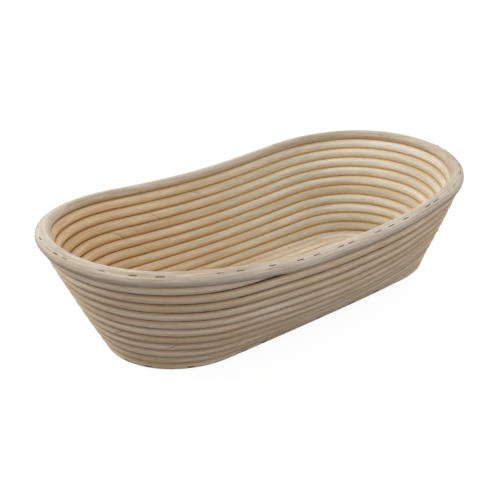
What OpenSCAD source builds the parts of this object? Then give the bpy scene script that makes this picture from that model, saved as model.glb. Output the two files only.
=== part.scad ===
// Oval banneton basket: round rattan cane wound in one climbing spiral and stapled turn to turn.
// Millimetres. +Z is up, +X runs along the length, the origin is under the centre on the table plane.
// The floor is a flat spiral round a straight core cane; the wall climbs anticlockwise from its edge.

/* [Cane] */
// Diameter of the round cane in the floor and the wall
cane_d = 8; // [6:0.5:11]
// Height of the flattened rim cane as a share of the wall cane
rim_height = 0.95; // [0.8:0.05:1.3]
// Width of the flattened rim cane, inside to outside, as a share of the wall cane
rim_width = 1.3; // [1:0.05:1.5]
// Clearance between one turn of cane and the next
turn_gap = 0.2; // [0.1:0.05:0.4]
// Length of the slanted cut where two lengths of cane meet
scarf_length = 12; // [4:1:14]

/* [Floor] */
// Half of the straight core cane that the floor is wound round
core_half = 87; // [60:1:130]
// Turns of cane in the flat floor spiral
floor_turns = 5.6; // [4:0.1:8]

/* [Wall] */
// Turns of cane in the wall, below the rim
wall_turns = 10; // [6:1:12]
// Lean of the long sides from vertical at the foot
side_lean_foot = 56; // [30:1:65]
// Lean of the long sides from vertical at the rim
side_lean_rim = 17; // [0:1:30]
// Lean of the two ends from vertical at the foot
end_lean_foot = 10; // [5:1:40]
// Lean of the two ends from vertical at the rim
end_lean_rim = 21.5; // [5:0.5:40]
// Extra lean at the foot of the end on the -X side, taken off the other end
near_end_extra = 15; // [0:1:16]
// Extra lean of the long side on the +Y side, taken off the other side
far_side_extra = 4.5; // [0:0.5:8]
// Extra lean at the rim of the shoulders between side and end
shoulder_lean = 2.5; // [0:0.5:6]
// Lean of the rim cane over the top turn, added to the lean there
rim_overhang = 0; // [-5:0.5:15]
// Share of a turn over which the lowest turn climbs off the table
climb_share = 0.45; // [0.3:0.05:0.8]
// Share of a turn over which the top cane thins out under the rim
taper_share = 0.09; // [0.05:0.01:0.15]

/* [Staples] */
// Staples along the rim
rim_staple_count = 44; // [12:1:60]
// Staples in each turn of the wall
wall_staple_count = 4; // [3:1:12]
// Staples round the outer edge of the floor
floor_staple_count = 22; // [8:1:36]
// Width of a staple across its two legs
staple_width = 5; // [3:0.5:7]
// Depth of a staple leg
staple_depth = 6; // [3:0.5:8]
// Thickness of the staple wire
staple_wire = 0.6; // [0.4:0.1:1]

/* [Hidden] */

// Middle of a cane to its flats, the same for the flattened rim, and the section's corners
cane_r = cane_d / 2;
flat_r = (cane_d - turn_gap) / 2;
rim_flat_h = rim_height * cane_d / 2 - turn_gap / 2;
rim_flat_w = rim_width * cane_d / 2 - turn_gap / 2;
corner = 1 / cos(22.5);
sides = 8;

// Stations along one turn: nine steps of ten degrees in a quarter bend, seven in half a straight
n = 64;
bend = 9;
straight = 7;
run_out = 44;

// Station numbers: the thin inner end, the foot of the wall, and the top end of the spiral
inner = 4 - n;
foot = round(floor_turns * n);
top = foot + wall_turns * n;

// Small vector helpers
function unit(v) = v / norm(v);
function mix(a, b, t) = a * (1 - t) + b * t;
function clamp(t) = max(0, min(1, t));
function ease(t) = clamp(t) * clamp(t) * (3 - 2 * clamp(t));
function wrap(q) = q - n * floor(q / n);

// Point on the oval at distance d from the core, by station
function oval(q, d) =
    let (k = wrap(q), a = 90 / bend)
    k < bend ? [core_half + d * cos(a * k), d * sin(a * k), flat_r] :
    k < bend + 2 * straight ? [core_half * (bend + straight - k) / straight, d, flat_r] :
    k < 3 * bend + 2 * straight ?
        let (b = 90 + a * (k - bend - 2 * straight))
        [-core_half + d * cos(b), d * sin(b), flat_r] :
    k < 3 * bend + 4 * straight ?
        [core_half * (k - 3 * bend - 3 * straight) / straight, -d, flat_r] :
    [core_half + d * cos(a * (k - n)), d * sin(a * (k - n)), flat_r];

// Centre of the floor spiral at station i; below station 0 the cane is a thin wedge beside the core
function floor_point(i) =
    oval(run_out + i - foot, i < 0 ? cane_r + cane_r * (i + n) / n : cane_d * (1 + i / n));

// Half length and half width of one turn
function half_size(points) =
    [max([for (p = points) abs(p.x)]), max([for (p = points) abs(p.y)])];

// Direction from one turn to the next: leaning out from vertical, square to the cane's run
function stack_dir(a, p, b, level, half, extra = 0) =
    let (
        t = unit(b - a),
        out = unit([t.y, -t.x, 0]),
        u = clamp(level / wall_turns),
        x = p.x / half.x,
        y = p.y / half.y,
        w = min(1, x * x),
        side = mix(side_lean_foot, side_lean_rim, u) + far_side_extra * y * (3 - y * y) / 2,
        end = mix(end_lean_foot, end_lean_rim, u) - near_end_extra * (1 - u) * x,
        shoulder = shoulder_lean * u * 4 * w * (1 - w),
        lean = mix(90, mix(side, end, w) + shoulder, ease(level / climb_share)) + extra,
        d = [0, 0, cos(lean)] + sin(lean) * out
    )
    unit(d - (d * t) * t);

// One more turn laid on the last one
function next_turn(path) =
    let (
        m = len(path),
        half = half_size([for (k = [m - n:m - 1]) path[k]])
    )
    [for (k = [m - n:m - 1])
        path[k] + cane_d * stack_dir(
            path[k - 1], path[k], k + 1 < m ? path[k + 1] : 2 * path[k] - path[k - 1],
            (k + n + inner - foot) / n, half)];

function wind(path, turns) = turns == 0 ? path : wind(concat(path, next_turn(path)), turns - 1);

path = wind([for (i = [inner:foot]) floor_point(i)], wall_turns);

// Centre of the spiral at a whole station, with the run carried straight on past its end
function centre(i) = i > top ? 2 * path[top - inner] - path[2 * top - i - inner] : path[i - inner];
function tangent(i) = unit(centre(i + 1) - centre(max(inner, i - 1)));
function square_to(v, t) = unit(v - (v * t) * t);
function up_dir(i) =
    let (t = tangent(i))
    i <= foot ? unit([t.y, -t.x, 0]) : square_to(centre(i) - centre(i - n), t);

// Share of full thickness left in the top cane as it runs out under the rim
function thin(i) = ease((top - i) / (taper_share * n));
function cane_centre(i) =
    i <= top - taper_share * n ? centre(i) :
    centre(i - n) + cane_r * (1 + thin(i)) * unit(centre(i) - centre(i - n));
function cane_radius(i) = flat_r * (i < 0 ? (i + n) / n : thin(i));

// Rim cane: rests on the top turn, and comes down to the turn below where the top cane runs out
rim_half = half_size([for (i = [top - n:top]) centre(i)]);
function rim_lean(i) =
    stack_dir(centre(i - 1), centre(i), centre(i + 1), wall_turns, rim_half, rim_overhang);
function rim_drop(j) = ease((j / n - 0.88 + taper_share) / 0.12);
function rim_dir(j) =
    let (i = top - n + j)
    unit(mix(rim_lean(i), rim_lean(i - n), rim_drop(j)));
rim_rise = cane_r + turn_gap / 2 + rim_flat_h;
function rim_on_top(j) = centre(top - n + j) + rim_rise * rim_lean(top - n + j);
function rim_on_thin(j) =
    let (i = top - n + j)
    mix(centre(i - n), centre(i), thin(i)) + rim_rise * rim_lean(i - n);
rim_path = [for (j = [0:n - 1]) mix(rim_on_top(j), rim_on_thin(j), rim_drop(j))];
function rim_centre(j) = rim_path[wrap(j)];
function rim_tangent(j) = unit(rim_centre(j + 1) - rim_centre(j - 1));

// Eight-sided section round a centre line; slant pushes it along the run to cut a scarf
function section(p, t, up, high, wide, slant) =
    let (s = cross(t, up))
    [for (k = [0:sides - 1])
        let (a = 22.5 + 45 * k)
        p + corner * (high * cos(a) * up + wide * sin(a) * s) + slant * cos(a) * t];

module sweep(rings) {
    m = len(rings);
    points = [for (ring = rings) each ring];
    walls = [for (i = [0:m - 2], k = [0:sides - 1])
        let (a = i * sides + k, b = i * sides + (k + 1) % sides)
        each [[a, a + sides, b], [b, a + sides, b + sides]]];
    first = [for (k = [0:sides - 1]) k];
    last = [for (k = [sides - 1:-1:0]) (m - 1) * sides + k];
    polyhedron(points, concat([first], walls, [last]), convexity = 12);
}

// One length of cane between two stations, cut on a slant at each end that meets another length
module cane_length(from, to, slant_from = 1, slant_to = 1) {
    half_cut = scarf_length / 2;
    sweep([for (i = [from:to])
        let (
            end = i == from ? slant_from : i == to ? slant_to : 0,
            t = tangent(i),
            up = square_to(up_dir(i), t),
            back = i == from ? turn_gap : i == to ? -turn_gap : 0
        )
        section(cane_centre(i) + back * t, t, up, cane_radius(i), cane_radius(i),
            end * half_cut)]);
}

// Bent wire staple: its crown along x, its legs down y, its wire across z
module staple() {
    w = staple_width / 2;
    h = staple_wire / 2;
    translate([0, 0, -h])
        linear_extrude(staple_wire)
            polygon([
                [-w, h], [-w, -staple_depth], [-w + staple_wire, -staple_depth],
                [-w + staple_wire, -h], [w - staple_wire, -h],
                [w - staple_wire, -staple_depth], [w, -staple_depth], [w, h]]);
}

// Staple pressed in at a point, crown along t, legs against the outward direction out
module place_staple(p, t, out) {
    u = square_to(out, t);
    v = cross(t, u);
    multmatrix([
        [t.x, u.x, v.x, p.x],
        [t.y, u.y, v.y, p.y],
        [t.z, u.z, v.z, p.z],
        [0, 0, 0, 1]])
        staple();
}

// Distance from the middle of an eight-sided cane to its face, at an angle from a flat
function face_at(radius, a) = radius / cos(a - 45 * round(a / 45));

// Uneven spacing of the k-th staple out of count, as a share
function uneven(k, count) = (k + 0.5 + 0.28 * sin(137 * k)) / count;

// Station numbers of the slanted joints between lengths of cane
floor_joint_1 = foot - 3 * n - 3;
floor_joint_2 = foot - n - 35;
function wall_joint(k) = round(foot + n * (0.06 + k * (wall_turns - 0.55) / 10));
rim_joint = 29;

module floor_core() {
    color("#D8BF92")
        sweep([for (k = [0:3])
            let (
                x = [-core_half - 0.8 * cane_r, -core_half, core_half, core_half + 0.8 * cane_r][k],
                radius = flat_r * (k == 0 || k == 3 ? 0.35 : 1)
            )
            section([x, 0, flat_r], [1, 0, 0], [0, 0, 1], radius, radius, 0)]);
}

module floor_cane_1() {
    color("#D9C299") cane_length(inner, floor_joint_1, 0, 1);
}

module floor_cane_2() {
    color("#D3B98B") cane_length(floor_joint_1, floor_joint_2);
}

module floor_cane_3() {
    color("#DCC69F") cane_length(floor_joint_2, wall_joint(0));
}

module wall_cane_01() {
    color("#D6BD90") cane_length(wall_joint(0), wall_joint(1));
}

module wall_cane_02() {
    color("#DBC59C") cane_length(wall_joint(1), wall_joint(2));
}

module wall_cane_03() {
    color("#D2B788") cane_length(wall_joint(2), wall_joint(3));
}

module wall_cane_04() {
    color("#D9C197") cane_length(wall_joint(3), wall_joint(4));
}

module wall_cane_05() {
    color("#DDC8A2") cane_length(wall_joint(4), wall_joint(5));
}

module wall_cane_06() {
    color("#D5BB8D") cane_length(wall_joint(5), wall_joint(6));
}

module wall_cane_07() {
    color("#DAC39A") cane_length(wall_joint(6), wall_joint(7));
}

module wall_cane_08() {
    color("#D4BA8C") cane_length(wall_joint(7), wall_joint(8));
}

module wall_cane_09() {
    color("#DCC69F") cane_length(wall_joint(8), wall_joint(9));
}

module wall_cane_10() {
    color("#D7BE92") cane_length(wall_joint(9), top - 1, 1, 0);
}

module rim_cane() {
    half_cut = scarf_length / 2;
    color("#E6DAC0")
        sweep([for (j = [rim_joint:rim_joint + n])
            let (
                t = rim_tangent(j),
                up = square_to(rim_dir(wrap(j)), t),
                back = j == rim_joint ? turn_gap : j == rim_joint + n ? -turn_gap : 0,
                slant = j == rim_joint || j == rim_joint + n ? half_cut : 0
            )
            section(rim_centre(j) + back * t, t, up, rim_flat_h, rim_flat_w, slant)]);
}

// Crowns lie on the upper outside of the rim
module rim_staples() {
    lean_out = 20;
    rim_face = rim_flat_h / cos(lean_out) + 0.1 * staple_wire;
    color("#8C8272")
        for (k = [0:rim_staple_count - 1])
            let (
                s = n * uneven(k, rim_staple_count),
                j = floor(s),
                t = unit(rim_centre(j + 1) - rim_centre(j)),
                up = square_to(mix(rim_dir(wrap(j)), rim_dir(wrap(j + 1)), s - j), t),
                out = cos(lean_out) * up + sin(lean_out) * cross(t, up)
            )
            place_staple(
                mix(rim_centre(j), rim_centre(j + 1), s - j)
                    + rim_face * out, t, out);
}

// Crowns lie on the upper outside of each turn, half hidden in the groove under the next
module wall_staples() {
    lean_out = 30;
    color("#7E7466")
        for (k = [0:wall_staple_count * (wall_turns - 1) - 1])
            let (
                s = foot + n * (climb_share + uneven(k, wall_staple_count + 0.37)),
                i = floor(s),
                t = unit(centre(i + 1) - centre(i)),
                up = square_to(centre(i + n) - centre(i), t),
                out = cos(lean_out) * up + sin(lean_out) * cross(t, up)
            )
            if (i + n < top)
                place_staple(
                    mix(centre(i), centre(i + 1), s - i)
                        + (face_at(flat_r, lean_out) + 0.1 * staple_wire) * out, t, out);
}

// Crowns lie on the outer edge of the floor, turned a little down to the table
module floor_staples() {
    lean_down = 25;
    color("#7E7466")
        for (k = [0:floor_staple_count - 1])
            let (
                s = foot + n * (uneven(k, floor_staple_count) - 0.7),
                i = floor(s),
                t = unit(centre(i + 1) - centre(i)),
                level = unit([t.y, -t.x, 0]),
                out = cos(lean_down) * level - [0, 0, sin(lean_down)]
            )
            place_staple(
                mix(centre(i), centre(i + 1), s - i)
                    + (face_at(flat_r, lean_down) + 0.1 * staple_wire) * out, t, out);
}

floor_core();
floor_cane_1();
floor_cane_2();
floor_cane_3();
wall_cane_01();
wall_cane_02();
wall_cane_03();
wall_cane_04();
wall_cane_05();
wall_cane_06();
wall_cane_07();
wall_cane_08();
wall_cane_09();
wall_cane_10();
rim_cane();
floor_staples();
wall_staples();
rim_staples();
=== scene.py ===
"""Oval banneton basket of round rattan cane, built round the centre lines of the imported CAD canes.

Each CAD cane is an eight-sided sweep. This script reads its rings of corners back from the frame, runs a smooth
curve through them, and lays a finely meshed cane, with its scarf cuts, staple dents and fibres, on that curve.
"""
import math

import bmesh
import bpy
import numpy as np
from mathutils import Matrix, Vector


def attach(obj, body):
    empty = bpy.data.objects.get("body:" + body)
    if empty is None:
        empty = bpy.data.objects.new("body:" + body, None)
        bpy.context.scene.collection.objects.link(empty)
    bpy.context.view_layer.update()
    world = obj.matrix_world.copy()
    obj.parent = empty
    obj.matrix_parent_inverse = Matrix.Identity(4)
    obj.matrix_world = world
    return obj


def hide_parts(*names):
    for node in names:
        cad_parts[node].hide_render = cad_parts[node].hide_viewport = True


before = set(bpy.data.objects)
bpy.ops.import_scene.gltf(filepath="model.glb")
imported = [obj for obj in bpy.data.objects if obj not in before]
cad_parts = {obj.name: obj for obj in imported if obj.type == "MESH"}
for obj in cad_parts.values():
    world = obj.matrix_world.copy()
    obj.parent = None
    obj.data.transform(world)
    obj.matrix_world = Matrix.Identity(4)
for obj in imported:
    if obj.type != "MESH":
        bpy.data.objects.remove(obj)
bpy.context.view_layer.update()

MM = 0.001
TURN = 2 * math.pi

# Mesh density: distance between rings along a cane, the same close to a staple, and corners round it
RING_STEP = 2.4 * MM
FINE_STEP = 0.55 * MM
FINE_REACH = 4.2 * MM
SIDES = 32

# The slanted cut where two lengths of cane meet, and the hairline left open there
SCARF_HALF = 6.0 * MM
SCARF_RAMP = 15.0 * MM
SCARF_GAP = 0.16 * MM

# How much fuller than half their spacing the canes are, so that turns press together
FULLNESS = 1.012

# Natural unevenness of the cane
GIRTH_VARIATION = 0.018
OUT_OF_ROUND = 0.012

# Bent wire staples and the dents they leave
WIRE_RADIUS = 0.26 * MM
WIRE_SIDES = 8
CROWN_SINK = 0.42 * MM
DENT_DEPTH = 0.30 * MM
DENT_SPREAD = 0.50 * MM
HOLE_SPREAD = 0.50 * MM

# Light from all round, and the soft lights: name, place, width and power
ROOM_LIGHT = 0.84
ROOM_DIM = (-0.25, 0.10, 0.0)
LIGHTS = [
    ("left_back", (-0.9, 0.9, 1.0), 0.8, 13.0),
    ("front_right", (1.0, -0.8, 0.5), 0.8, 1.5),
]

# The floor is as low as the roundest part of the lowest cane
FLOOR_LEVEL = -0.25 * MM
# The light the floor throws back, its glow to the camera, and the share that takes a shadow
FLOOR_BOUNCE = 0.25
FLOOR_GLOW = 0.93
FLOOR_SHADE = 0.12

# Camera: direction it looks from, where it aims, how far off it is, and its lens
CAMERA_AZIMUTH = -38.04
CAMERA_ELEVATION = 23.68
CAMERA_ROLL = -2.315
CAMERA_DISTANCE = 0.6689
CAMERA_AIM = Vector((-0.0048, 0.0212, 0.0313))
CAMERA_LENS = 61.91
CAMERA_FOCUS = 0.56
CAMERA_STOP = 16


# ---------------------------------------------------------------- reading the CAD canes

def flat_patch(face):
    """Corners of the flat patch of faces round one face."""
    patch, todo = {face}, [face]
    while todo:
        for edge in todo.pop().edges:
            for other in edge.link_faces:
                if other not in patch and other.normal.dot(face.normal) > 0.99999:
                    patch.add(other)
                    todo.append(other)
    return {v for f in patch for v in f.verts}


def layers_from(first):
    """The corners of a tube in layers, each one edge further from the first layer."""
    layers, layer, seen = [], set(first), set(first)
    while layer:
        layers.append(layer)
        layer = {e.other_vert(v) for v in layer for e in v.link_edges} - seen
        seen |= layer
    return layers


def cane_rings(node):
    """Rings of a swept CAD cane from one end to the other, as an array (stations, corners, 3)."""
    corners = 8
    bm = bmesh.new()
    bm.from_mesh(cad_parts[node].data)
    bmesh.ops.remove_doubles(bm, verts=bm.verts, dist=1e-6)
    bm.normal_update()
    tried = set()
    for face in bm.faces:
        patch = flat_patch(face)
        mark = frozenset(v.index for v in patch)
        if len(patch) != corners or mark in tried:
            continue
        tried.add(mark)
        layers = layers_from(patch)
        if all(len(layer) == corners for layer in layers):
            rings = np.array([[v.co[:] for v in layer] for layer in layers])
            bm.free()
            return rings
    bm.free()
    raise ValueError(f"{node} isn't a sweep of {corners}-cornered rings")


def anticlockwise(rings):
    """The rings in the order in which the cane runs anticlockwise, seen from above."""
    c = rings.mean(1)
    swept = np.sum(c[:-1, 0] * c[1:, 1] - c[:-1, 1] * c[1:, 0])
    return rings if swept > 0 else rings[::-1]


def loose_parts(node):
    """The separate solids of a CAD node, each as an array of its corners."""
    bm = bmesh.new()
    bm.from_mesh(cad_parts[node].data)
    bmesh.ops.remove_doubles(bm, verts=bm.verts, dist=1e-6)
    left, parts = set(bm.verts), []
    while left:
        part, todo = set(), [next(iter(left))]
        while todo:
            v = todo.pop()
            if v not in part:
                part.add(v)
                todo += [e.other_vert(v) for e in v.link_edges]
        left -= part
        parts.append(np.array([v.co[:] for v in part]))
    bm.free()
    return parts


# ---------------------------------------------------------------- small vector tools

def unit(v):
    return v / np.linalg.norm(v, axis=-1, keepdims=True)


def square_to(v, t):
    """The part of v that is square to t, at length one."""
    return unit(v - np.sum(v * t, axis=-1, keepdims=True) * t)


def smooth(x):
    x = np.clip(x, 0.0, 1.0)
    return x * x * (3 - 2 * x)


def wander(s, seed, longest, octaves=4):
    """Smooth unevenness along a length s in metres, from about -1 to 1."""
    rng = np.random.default_rng(seed)
    total = np.zeros_like(s)
    for k in range(octaves):
        wave = longest / 1.9 ** k
        total += 0.55 ** k * np.sin(TURN * (s / wave + rng.random()) + 1.3 * np.sin(TURN * (s / wave / 1.7 + rng.random())))
    return total / 1.8


class Curve:
    """Rows of numbers at whole stations, read smoothly at any station between."""

    def __init__(self, rows, closed=False):
        self.rows = np.asarray(rows, float)
        self.closed = closed

    def __call__(self, s):
        rows, count = self.rows, len(self.rows)
        s = np.asarray(s, float)
        i = np.floor(s).astype(int)
        if not self.closed:
            i = np.clip(i, 0, count - 2)
        f = (s - i)[..., None]

        def row(k):
            if self.closed:
                return rows[k % count]
            inside = rows[np.clip(k, 0, count - 1)]
            before = (k < 0)[..., None] * (rows[0] - rows[1])
            after = (k > count - 1)[..., None] * (rows[-1] - rows[-2])
            return inside + before + after

        a, b, c, d = row(i - 1), row(i), row(i + 1), row(i + 2)
        return b + 0.5 * f * (c - a + f * (2 * a - 5 * b + 4 * c - d + f * (3 * (b - c) + d - a)))


class Cane:
    """The line of a cane: its centre, the way to the next turn, and its half height and half width by station."""

    def __init__(self, centre, up, high, wide, closed=False):
        self.centre = Curve(centre, closed)
        self.up = Curve(up, closed)
        self.size = Curve(np.stack([high, wide], 1), closed)
        self.closed = closed
        fine = np.arange(0, len(centre) - 1 + closed + 1e-9, 0.25)
        steps = np.linalg.norm(np.diff(self.centre(fine), axis=0), axis=1)
        self.fine = fine
        self.run = np.concatenate([[0], np.cumsum(steps)])

    def length_at(self, s):
        return np.interp(s, self.fine, self.run)

    def station_at(self, length):
        return np.interp(length, self.run, self.fine)

    def axes(self, s):
        """Centre, run, up and outward directions at each station."""
        p = self.centre(s)
        t = unit(self.centre(s + 0.02) - self.centre(s - 0.02))
        u = square_to(self.up(s), t)
        return p, t, u, np.cross(t, u)


# ---------------------------------------------------------------- the canes' lines, from the frame

spiral_nodes = sorted(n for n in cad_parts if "_cane_" in n)
spiral_rings, span = [], {}
for name in spiral_nodes:
    rings = anticlockwise(cane_rings(name))
    start = max(0, len(spiral_rings) - 1)
    if spiral_rings:
        shared = (spiral_rings[-1].mean(0) + rings[0].mean(0)) / 2
        spiral_rings[-1] = rings[1] - rings[1].mean(0) + shared
        rings = rings[1:]
    spiral_rings += list(rings)
    span[name] = (start, len(spiral_rings) - 1)
spiral_rings = np.array(spiral_rings)
rim_rings = anticlockwise(cane_rings("rim_cane"))
turn = len(rim_rings) - 1

centre = spiral_rings.mean(1)
corner_reach = np.linalg.norm(spiral_rings - centre[:, None], axis=2).mean(1)
wall_first = span["wall_cane_01"][0]
middle = slice(wall_first + turn, len(centre) - turn)
spacing = np.linalg.norm(centre[middle] - centre[middle.start - turn:middle.stop - turn], axis=1)
CANE_RADIUS = float(np.median(spacing)) / 2

full = np.median(corner_reach)
radius = FULLNESS * CANE_RADIUS * corner_reach / full
run_dir = unit(np.gradient(centre, axis=0))
outward = unit(np.cross(run_dir, [0, 0, 1.0]))
up = outward.copy()
up[turn:] = square_to(centre[turn:] - centre[:-turn], run_dir[turn:])
up[:turn] = square_to(outward[:turn], run_dir[:turn])
spiral = Cane(centre, up, radius, radius)

rim_centre = rim_rings.mean(1)
rim_centre[0] = rim_centre[-1] = (rim_centre[0] + rim_centre[-1]) / 2
rim_centre = rim_centre[:-1]
rim_run = unit(np.roll(rim_centre, -1, 0) - np.roll(rim_centre, 1, 0))
rim_up, rim_high, rim_wide = [], [], []
for p, t, ring in zip(rim_centre, rim_run, rim_rings):
    flat = ring - ring.mean(0)
    flat = flat - (flat @ t)[:, None] * t
    wide_axis = np.linalg.svd(flat)[2][0]
    upward = np.cross(wide_axis, t)
    upward *= np.sign(upward[2])
    rim_up.append(upward)
    rim_high.append(np.abs(flat @ upward).max())
    rim_wide.append(np.abs(flat @ wide_axis).max())
gap = FULLNESS * CANE_RADIUS - full * math.cos(TURN / 16)
rim = Cane(rim_centre, rim_up, np.full(turn, np.median(rim_high) + gap),
           np.full(turn, np.median(rim_wide) + gap), closed=True)

core_rings = cane_rings("floor_core")
if core_rings[0].mean(0)[0] > 0:
    core_rings = core_rings[::-1]


# ---------------------------------------------------------------- where a cane touches its neighbours

def nearest_on(line, points):
    """The point of a line of points that is nearest to each of the given points."""
    gaps = np.linalg.norm(points[:, None] - line[None], axis=2)
    return line[gaps.argmin(1)]


rim_line = rim.centre(np.arange(0, turn, 0.1))
top_line = spiral.centre(np.arange(len(centre) - 1 - 1.5 * turn, len(centre) - 1, 0.1))
core_line = np.stack([np.linspace(core_rings[0].mean(0)[0], core_rings[-1].mean(0)[0], 200),
                      np.zeros(200), np.full(200, core_rings[1].mean(0)[2])], 1)


def spiral_contacts(s):
    """Directions to the canes that touch the spiral at each station: the turn below, and the turn or rim above."""
    p = spiral.centre(s)
    below = np.where((s >= turn)[:, None], spiral.centre(np.maximum(s - turn, 0)), nearest_on(core_line, p))
    top = len(centre) - 1
    above = np.where((s + turn <= top)[:, None], spiral.centre(np.minimum(s + turn, top)), nearest_on(rim_line, p))
    return [unit(below - p), unit(above - p)]


def rim_contacts(s):
    p = rim.centre(s)
    return [unit(nearest_on(top_line, p) - p)]


def core_contacts(s):
    return [np.tile([0.0, side, 0.0], (len(s), 1)) for side in (-1.0, 1.0)]


# ---------------------------------------------------------------- staples, from the frame

class Staple:
    """Where a staple sits: the middle of its crown, the crown's direction, the way out, and half its width."""

    def __init__(self, corners):
        middle_point = corners.mean(0)
        away = corners - middle_point
        leg, crown, _ = np.linalg.svd(away, full_matrices=False)[2]
        along_leg = away @ leg
        leg = leg * np.sign(along_leg[np.abs(along_leg).argmax()])
        self.out, self.along = leg, crown
        self.half = np.abs(away @ crown).max()
        self.top = middle_point + leg * ((away @ leg).max() - CROWN_SINK)
        self.ends = [self.top + side * self.half * crown for side in (-1, 1)]


staples = {name: [Staple(c) for c in loose_parts(name)]
           for name in ("floor_staples", "wall_staples", "rim_staples")}
every_staple = [s for group in staples.values() for s in group]


# ---------------------------------------------------------------- meshing a cane

def grid_faces(rings, sides, closed):
    faces = []
    for i in range(rings if closed else rings - 1):
        a, b = i * sides, (i + 1) % rings * sides
        faces += [(a + k, a + (k + 1) % sides, b + (k + 1) % sides, b + k) for k in range(sides)]
    return faces


def ring_lengths(cane, first, last, round_ends):
    """Distances along the cane at which its mesh has a ring: closer together at round ends and beside a staple."""
    count = max(4, math.ceil((last - first) / RING_STEP))
    lengths = list(np.linspace(first, last, count + 1))
    if round_ends:
        fine = np.arange(0, FINE_REACH, FINE_STEP)
        lengths += list(first + fine) + list(last - fine)
    stations = np.arange(cane.fine[0], cane.fine[-1], 0.1)
    line = cane.centre(stations)
    for s in every_staple:
        gaps = np.linalg.norm(line - s.top, axis=1)
        if gaps.min() < 1.6 * cane.size.rows.max():
            near = float(cane.length_at(stations[gaps.argmin()]))
            lengths += list(np.arange(near - FINE_REACH, near + FINE_REACH, FINE_STEP))
    lengths = sorted(x for x in lengths if first <= x <= last)
    kept = [lengths[0]]
    for x in lengths[1:-1]:
        if x - kept[-1] > 0.7 * FINE_STEP and lengths[-1] - x > 0.7 * FINE_STEP:
            kept.append(x)
    return np.array(kept + [lengths[-1]])


def press(points, inward):
    """Dents the surface under each staple, and returns the painted shade, with a little stain, that the staple's dents
    and holes give each point.
    """
    dark = np.zeros(len(points))
    low, high = points.min(0) - 5 * MM, points.max(0) + 5 * MM
    for s in every_staple:
        if (s.top < low).any() or (s.top > high).any():
            continue
        near = np.where(np.abs(points - s.top).max(1) < 7 * MM)[0]
        if not len(near):
            continue
        q = points[near]
        along = np.clip((q - s.top) @ s.along, -s.half, s.half)
        gap_to_wire = np.linalg.norm(q - s.top - along[:, None] * s.along, axis=1)
        depth = DENT_DEPTH * np.exp(-(gap_to_wire / DENT_SPREAD) ** 2)
        # painted shade in the dent along the wire, and below in the leg holes
        dark[near] = np.maximum(dark[near], 0.6 * np.exp(-(gap_to_wire / DENT_SPREAD) ** 2))
        for end in s.ends:
            to_hole = np.linalg.norm(q - end, axis=1)
            depth += 0.8 * DENT_DEPTH * np.exp(-(to_hole / HOLE_SPREAD) ** 2)
            dark[near] = np.maximum(dark[near], np.exp(-(to_hole / HOLE_SPREAD) ** 2))
        points[near] += depth[:, None] * inward[near]
    return dark


def new_object(name, points, faces, attributes, material, smooth_faces=None):
    mesh = bpy.data.meshes.new(name)
    mesh.from_pydata([tuple(p) for p in points], [], faces)
    for key, values in attributes.items():
        values = np.asarray(values, np.float32)
        kind = "FLOAT_VECTOR" if values.ndim == 2 else "FLOAT"
        layer = mesh.attributes.new(key, kind, "POINT")
        layer.data.foreach_set("vector" if values.ndim == 2 else "value", values.ravel())
    mesh.polygons.foreach_set("use_smooth", [True] * len(mesh.polygons) if smooth_faces is None else smooth_faces)
    mesh.materials.append(material)
    mesh.update()
    obj = bpy.data.objects.new(name, mesh)
    bpy.context.scene.collection.objects.link(obj)
    return obj


def cane_piece(name, cane, first, last, material, seed, contacts, slants=(1, 1), pinch=2.0):
    """One length of cane between two stations, with slanted cuts at the ends that meet another length.

    contacts gives the directions to its neighbours by station, and pinch is the roundness of its section."""
    lo, hi = float(cane.length_at(first)), float(cane.length_at(last))
    lengths = ring_lengths(cane, lo, hi, not any(slants))
    rings = len(lengths)
    angle = np.arange(SIDES) * TURN / SIDES
    slant = (slants[0] * smooth(1 - (lengths - lo) / SCARF_RAMP)
             + slants[1] * smooth(1 - (hi - lengths) / SCARF_RAMP))
    back = (slants[0] * (lengths == lo) - slants[1] * (lengths == hi)) * SCARF_GAP
    reach = lengths[:, None] + (slant * SCARF_HALF)[:, None] * np.cos(angle)[None] + back[:, None]
    if cane.closed:
        reach = reach % cane.run[-1]
    station = cane.station_at(reach) if cane.closed else np.where(
        reach > cane.run[-1], cane.fine[-1], cane.station_at(reach))
    p, t, u, w = cane.axes(station)
    size = cane.size(station)
    girth = 1 + GIRTH_VARIATION * wander(lengths, seed, 0.16)[:, None]
    oval = OUT_OF_ROUND * wander(lengths, seed + 50, 0.09)[:, None] * np.cos(
        2 * angle[None] + 2 * wander(lengths, seed + 90, 0.3)[:, None])
    shape = girth * (1 + oval)
    c, s = np.cos(angle), np.sin(angle)
    c = np.sign(c) * np.abs(c) ** (2 / pinch)
    s = np.sign(s) * np.abs(s) ** (2 / pinch)
    # the slanted faces of a cut are a little rounded at their edge
    edge = 1 - 0.03 * (slants[0] * (lengths == lo) + slants[1] * (lengths == hi))
    shape = shape * edge[:, None]
    high, wide = size[..., 0] * shape, size[..., 1] * shape
    radial = high[..., None] * c[None, :, None] * u + wide[..., None] * s[None, :, None] * w
    points = (p + radial).reshape(-1, 3)
    inward = -unit(radial.reshape(-1, 3))
    dark = press(points, inward)
    around = np.stack([reach, size[..., 0] * np.cos(angle), size[..., 1] * np.sin(angle)], -1)
    ways = contacts(cane.station_at(lengths))
    groove = np.max([np.sum(unit(radial) * way[:, None], axis=2) for way in ways], axis=0)
    ends = [] if cane.closed and not any(slants) else [
        tuple(range(SIDES - 1, -1, -1)), tuple(range((rings - 1) * SIDES, rings * SIDES))]
    faces = grid_faces(rings, SIDES, False) + ends
    flat = [True] * (len(faces) - len(ends)) + [False] * len(ends)
    around_flat = around.reshape(-1, 3) + np.array([seed * 0.37, 0, 0])
    return new_object(name, points, [f[::-1] for f in faces], {
        "fibre": around_flat, "groove": groove.ravel(), "mark": dark,
        "inner": np.tile(-np.sin(angle), rings)}, material, flat)


# ---------------------------------------------------------------- materials

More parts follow.
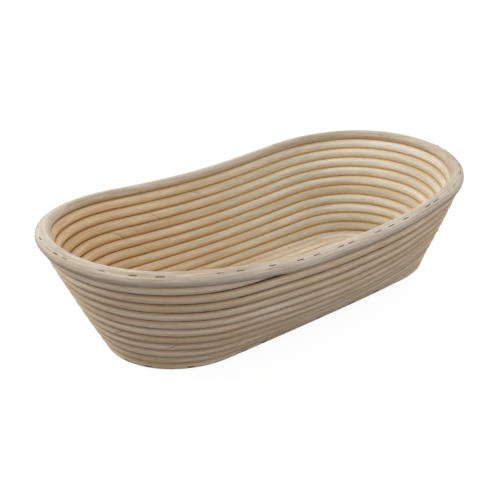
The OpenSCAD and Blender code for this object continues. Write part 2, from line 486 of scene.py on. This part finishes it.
class Tree:
    """Short way to write a node tree: each call adds a node, sets its inputs, and returns it."""

    def __init__(self, material):
        material.use_nodes = True
        self.nodes, self.links = material.node_tree.nodes, material.node_tree.links
        self.nodes.clear()

    def __call__(self, kind, inputs=None, **settings):
        made = self.nodes.new("ShaderNode" + kind)
        for key, value in settings.items():
            setattr(made, key, value)
        for key, value in (inputs or {}).items():
            socket = made.inputs[key]
            if isinstance(value, bpy.types.NodeSocket):
                self.links.new(value, socket)
            else:
                socket.default_value = value
        return made

    def maths(self, operation, a, b=0.0, c=0.0):
        return self("Math", {0: a, 1: b, 2: c}, operation=operation, use_clamp=False).outputs[0]

    def span(self, value, low, high, out_low=0.0, out_high=1.0):
        """value from low..high mapped to out_low..out_high with soft ends."""
        return self("MapRange", {0: value, 1: low, 2: high, 3: out_low, 4: out_high},
                    interpolation_type="SMOOTHSTEP").outputs[0]

    def mix(self, factor, a, b, blend="MIX"):
        made = self("Mix", data_type="RGBA", blend_type=blend, clamp_factor=True)
        for index, value in ((0, factor), (6, a), (7, b)):
            if isinstance(value, bpy.types.NodeSocket):
                self.links.new(value, made.inputs[index])
            else:
                made.inputs[index].default_value = value
        return made.outputs[2]

    def noise(self, vector, scale, detail=2.0, rough=0.5):
        """Noise that is stretched along the cane: scale is cycles per metre along it and across it."""
        stretched = self("VectorMath", {0: vector, 1: (scale[0], scale[1], scale[1])}, operation="MULTIPLY").outputs[0]
        return self("TexNoise", {"Vector": stretched, "Scale": 1.0, "Detail": detail, "Roughness": rough}).outputs["Fac"]


def srgb(r, g, b, a=1.0):
    """A colour given as the eye sees it, 0 to 255, as the renderer's linear light."""
    def linear(v):
        v /= 255
        return v / 12.92 if v <= 0.04045 else ((v + 0.055) / 1.055) ** 2.4
    return (linear(r), linear(g), linear(b), a)


def rattan(name, light, dark, seed, painted_side_light=1.0):
    """Peeled rattan core: long pale and tan fibres, fine pores, painted shade with some dirt in brown grooves where
    canes touch, and painted light and shade on its inside and outside.

    The last argument is 1 for canes whose inside and outside are given painted light and shade, and 0 for an even one."""
    material = bpy.data.materials.new(name)
    tree = Tree(material)
    fibre = tree("Attribute", attribute_name="fibre").outputs["Vector"]
    shifted = tree("VectorMath", {0: fibre, 1: (seed * 1.7, seed * 0.031, seed * 0.017)}, operation="ADD").outputs[0]
    groove = tree("Attribute", attribute_name="groove").outputs["Fac"]
    mark = tree("Attribute", attribute_name="mark").outputs["Fac"]

    broad = tree.noise(shifted, (9, 70), 2)
    streaks = tree.noise(shifted, (30, 800), 3, 0.6)
    fibres = tree.noise(shifted, (90, 3000), 2, 0.6)
    pores = tree.noise(shifted, (220, 1700), 1)

    tone = tree.maths("MULTIPLY_ADD", streaks, 0.9, tree.maths("MULTIPLY", broad, 0.8))
    tone = tree.maths("MULTIPLY_ADD", fibres, 0.7, tone)
    colour = tree.mix(tree.span(tone, 0.9, 1.5), light, dark)
    fleck = tree.span(pores, 0.66, 0.78, 0.0, 0.35)
    colour = tree.mix(fleck, colour, srgb(158, 124, 88))
    # painted light and shade: the inside is painted paler towards the +X end, and darker and warmer at the -X end, and
    # the outside is painted greyer than the inside
    inner = tree.span(tree("Attribute", attribute_name="inner").outputs["Fac"], -0.4, 0.4)
    along = tree("SeparateXYZ", {0: tree("NewGeometry").outputs["Position"]}).outputs["X"]
    pale = tree.span(along, -0.15, 0.15)
    inner_painted_tint = tree.mix(pale, (0.87, 0.78, 0.66, 1), (0.95, 1.03, 1.16, 1))
    painted_side_tint = tree.mix(inner, (0.99, 0.95, 0.97, 1), inner_painted_tint)
    colour = tree.mix(painted_side_light, colour, painted_side_tint, "MULTIPLY")
    # painted shade, with some dirt, in the grooves where canes touch: warmer on the inside, and paler towards the +X
    # end as painted light
    inner_shade = tree.mix(pale, srgb(200, 150, 88), srgb(224, 192, 136))
    shade = tree.mix(inner, srgb(168, 126, 86), inner_shade)
    colour = tree.mix(tree.span(groove, 0.50, 0.95, 0.0, 0.8), colour, shade)
    # painted shade: a ragged dark line along the bottom of each groove, fading towards the +X end on the inside as
    # painted light
    inner_seam_shade = tree.mix(pale, srgb(96, 64, 36), srgb(216, 178, 116))
    seam_shade = tree.mix(inner, srgb(58, 38, 28), inner_seam_shade)
    near = tree.maths("MULTIPLY_ADD", inner, -0.06, groove)
    ragged = tree.noise(shifted, (55, 140), 3, 0.7)
    near = tree.maths("MULTIPLY_ADD", ragged, 0.16, tree.maths("SUBTRACT", near, 0.08))
    colour = tree.mix(tree.span(near, 0.83, 0.93, 0.0, 0.9), colour, seam_shade)
    # painted shade, with a little stain, in the staple dents and holes
    colour = tree.mix(tree.span(mark, 0.25, 0.75, 0.0, 0.9), colour, srgb(64, 44, 32))

    height = tree.maths("MULTIPLY_ADD", fibres, 0.5, streaks)
    bump = tree("Bump", {"Strength": 0.5, "Distance": 0.00025, "Height": height}).outputs[0]
    rough = tree.span(fibres, 0.3, 0.7, 0.55, 0.70)
    shader = tree("BsdfPrincipled", {
        "Base Color": colour, "Roughness": rough, "Normal": bump, "Specular IOR Level": 0.3,
        "Subsurface Weight": 0.25, "Subsurface Radius": (1.0, 0.45, 0.22), "Subsurface Scale": 1.6 * MM})
    tree("OutputMaterial", {"Surface": shader.outputs[0]})
    return material


def steel(name):
    """Dull staple wire, a little stained."""
    material = bpy.data.materials.new(name)
    tree = Tree(material)
    place = tree("NewGeometry").outputs["Position"]
    stain = tree.noise(place, (700, 700), 3)
    colour = tree.mix(tree.span(stain, 0.4, 0.6), srgb(104, 84, 68), srgb(58, 38, 30))
    shader = tree("BsdfPrincipled", {
        "Base Color": colour, "Metallic": 0.5, "Roughness": tree.span(stain, 0.3, 0.7, 0.38, 0.6)})
    tree("OutputMaterial", {"Surface": shader.outputs[0]})
    return material


# ---------------------------------------------------------------- pieces

def place(obj, node):
    """Fixes a piece to the basket in place of its CAD node, and hides that node."""
    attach(obj, "root")
    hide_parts(node)


tones = {}
for k, name in enumerate(spiral_nodes):
    rng = np.random.default_rng(400 + k)
    # the floor canes are painted 8 levels lighter: painted light on the basket's upward-facing floor
    shift = rng.uniform(-5, 5) + (8 if name.startswith("floor") else 0)
    light = srgb(234 + shift, 221 + shift, 198 + 1.2 * shift)
    dark = srgb(204 + shift, 180 + shift, 146 + 1.4 * shift)
    tones[name] = rattan("rattan_" + name, light, dark, k + 1)

last_wall = spiral_nodes[-1]
for k, name in enumerate(spiral_nodes):
    first, last = span[name]
    slants = (0 if k == 0 else 1, 0 if name == last_wall else 1)
    piece = cane_piece(name + "_rattan", spiral, first, last, tones[name], k + 1, spiral_contacts, slants)
    place(piece, name)

rim_material = rattan("rattan_rim", srgb(209, 198, 183), srgb(170, 151, 128), 40, 0.0)
rim_piece = cane_piece("rim_cane_rattan", rim, 0, turn, rim_material, 41, rim_contacts, (1, 1), 2.25)
place(rim_piece, "rim_cane")


def core_piece():
    """The straight core cane, with its rounded ends, as a cane line of its own."""
    ends = core_rings.mean(1)
    sizes = np.linalg.norm(core_rings - ends[:, None], axis=2).mean(1)
    stations = 61
    reach = ends[-1][0] + 0.6 * MM
    turned = np.linspace(0, TURN / 2, stations)
    x = -reach * np.cos(turned)
    line = np.stack([x, np.full(stations, ends[0][1]), np.full(stations, ends[0][2])], 1)
    size = CANE_RADIUS * sizes[1] / full
    inside = np.clip((reach - np.abs(x)) / size, 0, 1)
    size = size * np.maximum(0.1, np.sqrt(1 - (1 - inside) ** 2))
    sideways = np.tile([0.0, 1.0, 0.0], (stations, 1))
    return Cane(line, sideways, size, size)


core = core_piece()
core_material = rattan("rattan_core", srgb(230, 212, 180), srgb(204, 174, 132), 60)
place(cane_piece("floor_core_rattan", core, 0, len(core.centre.rows) - 1, core_material, 61,
                 core_contacts, (0, 0)), "floor_core")


def staple_mesh(staple):
    """Points and faces of one bent wire staple: crown, two rounded bends and two legs."""
    bend, leg = 0.7 * MM, 3.2 * MM
    half = staple.half - WIRE_RADIUS
    line = [(-half, -leg)]
    line += [(-half + bend * (1 - math.cos(a)), -bend + bend * math.sin(a)) for a in np.linspace(0, TURN / 4, 5)]
    line += [(-x, y) for x, y in reversed(line)]
    line = np.array(line)
    across = np.cross(staple.along, staple.out)
    path = staple.top + line[:, :1] * staple.along + line[:, 1:] * staple.out
    run = unit(np.gradient(path, axis=0))
    points = []
    for p, t in zip(path, run):
        normal = np.cross(across, t)
        points += [p + WIRE_RADIUS * (math.cos(a) * across + math.sin(a) * normal)
                   for a in np.arange(WIRE_SIDES) * TURN / WIRE_SIDES]
    faces = grid_faces(len(path), WIRE_SIDES, False)
    last = (len(path) - 1) * WIRE_SIDES
    faces += [tuple(range(WIRE_SIDES - 1, -1, -1)), tuple(range(last, last + WIRE_SIDES))]
    return points, faces


wire = steel("staple_wire")
for name, group in staples.items():
    points, faces = [], []
    for staple in group:
        more, quads = staple_mesh(staple)
        faces += [tuple(len(points) + i for i in f) for f in quads]
        points += more
    place(new_object(name + "_wire", points, faces, {}, wire), name)


# ---------------------------------------------------------------- studio

def floor():
    """A plain floor: white to the camera with a faint shadow, and not there from below."""
    mesh = bpy.data.meshes.new("floor")
    reach = 4.0
    corners = [(x, y, FLOOR_LEVEL) for x, y in ((-reach, -reach), (reach, -reach), (reach, reach), (-reach, reach))]
    mesh.from_pydata(corners, [], [(0, 1, 2, 3)])
    material = bpy.data.materials.new("floor")
    tree = Tree(material)
    matt = tree("BsdfDiffuse", {"Color": (FLOOR_BOUNCE, FLOOR_BOUNCE, FLOOR_BOUNCE, 1)}).outputs[0]
    glow = tree("Emission", {"Color": (1, 1, 1, 1), "Strength": FLOOR_GLOW}).outputs[0]
    faint = tree("BsdfDiffuse", {"Color": (FLOOR_SHADE, FLOOR_SHADE, FLOOR_SHADE, 1)}).outputs[0]
    seen = tree("AddShader", {0: glow, 1: faint}).outputs[0]
    direct = tree("LightPath").outputs["Is Camera Ray"]
    upper = tree("MixShader", {0: direct, 1: matt, 2: seen}).outputs[0]
    below = tree("NewGeometry").outputs["Backfacing"]
    clear = tree("BsdfTransparent").outputs[0]
    tree("OutputMaterial", {"Surface": tree("MixShader", {0: below, 1: upper, 2: clear}).outputs[0]})
    mesh.materials.append(material)
    obj = bpy.data.objects.new("floor", mesh)
    bpy.context.scene.collection.objects.link(obj)


def area_light(name, place_at, size, power, colour=(1, 1, 1)):
    data = bpy.data.lights.new(name, "AREA")
    data.shape = "DISK"
    data.size = size
    data.energy = power
    data.color = colour
    obj = bpy.data.objects.new(name, data)
    obj.location = place_at
    obj.rotation_euler = (Vector((0, 0, 0.04)) - Vector(place_at)).to_track_quat("-Z", "Y").to_euler()
    bpy.context.scene.collection.objects.link(obj)


def surroundings():
    """White walls all round, seen white by the camera, and soft lights over the basket."""
    world = bpy.data.worlds.new("studio")
    tree = Tree(world)
    direct = tree("LightPath").outputs["Is Camera Ray"]
    way = tree("NewGeometry").outputs["Incoming"]
    side = tree("VectorMath", {0: way, 1: ROOM_DIM}, operation="DOT_PRODUCT").outputs["Value"]
    level = tree.maths("MULTIPLY_ADD", side, ROOM_LIGHT, ROOM_LIGHT)
    room = tree("Background", {"Color": (1, 1, 1, 1), "Strength": level}).outputs[0]
    white = tree("Background", {"Color": (1, 1, 1, 1), "Strength": 1.0}).outputs[0]
    tree("OutputWorld", {"Surface": tree("MixShader", {0: direct, 1: room, 2: white}).outputs[0]})
    bpy.context.scene.world = world
    bpy.context.scene.view_settings.view_transform = "Standard"
    for name, spot, size, power in LIGHTS:
        area_light(name, spot, size, power)


def camera():
    data = bpy.data.cameras.new("camera")
    data.lens = CAMERA_LENS
    data.sensor_width = 36
    data.clip_start, data.clip_end = 0.02, 20
    data.dof.use_dof = True
    data.dof.focus_distance = CAMERA_FOCUS
    data.dof.aperture_fstop = CAMERA_STOP
    obj = bpy.data.objects.new("camera", data)
    az, el = math.radians(CAMERA_AZIMUTH), math.radians(CAMERA_ELEVATION)
    back = Vector((math.sin(az) * math.cos(el), -math.cos(az) * math.cos(el), math.sin(el)))
    obj.location = CAMERA_AIM + back * CAMERA_DISTANCE
    facing = (-back).to_track_quat("-Z", "Y")
    roll = Matrix.Rotation(math.radians(CAMERA_ROLL), 4, "Z")
    obj.rotation_euler = (facing.to_matrix().to_4x4() @ roll).to_euler()
    bpy.context.scene.collection.objects.link(obj)
    bpy.context.scene.camera = obj


floor()
surroundings()
camera()
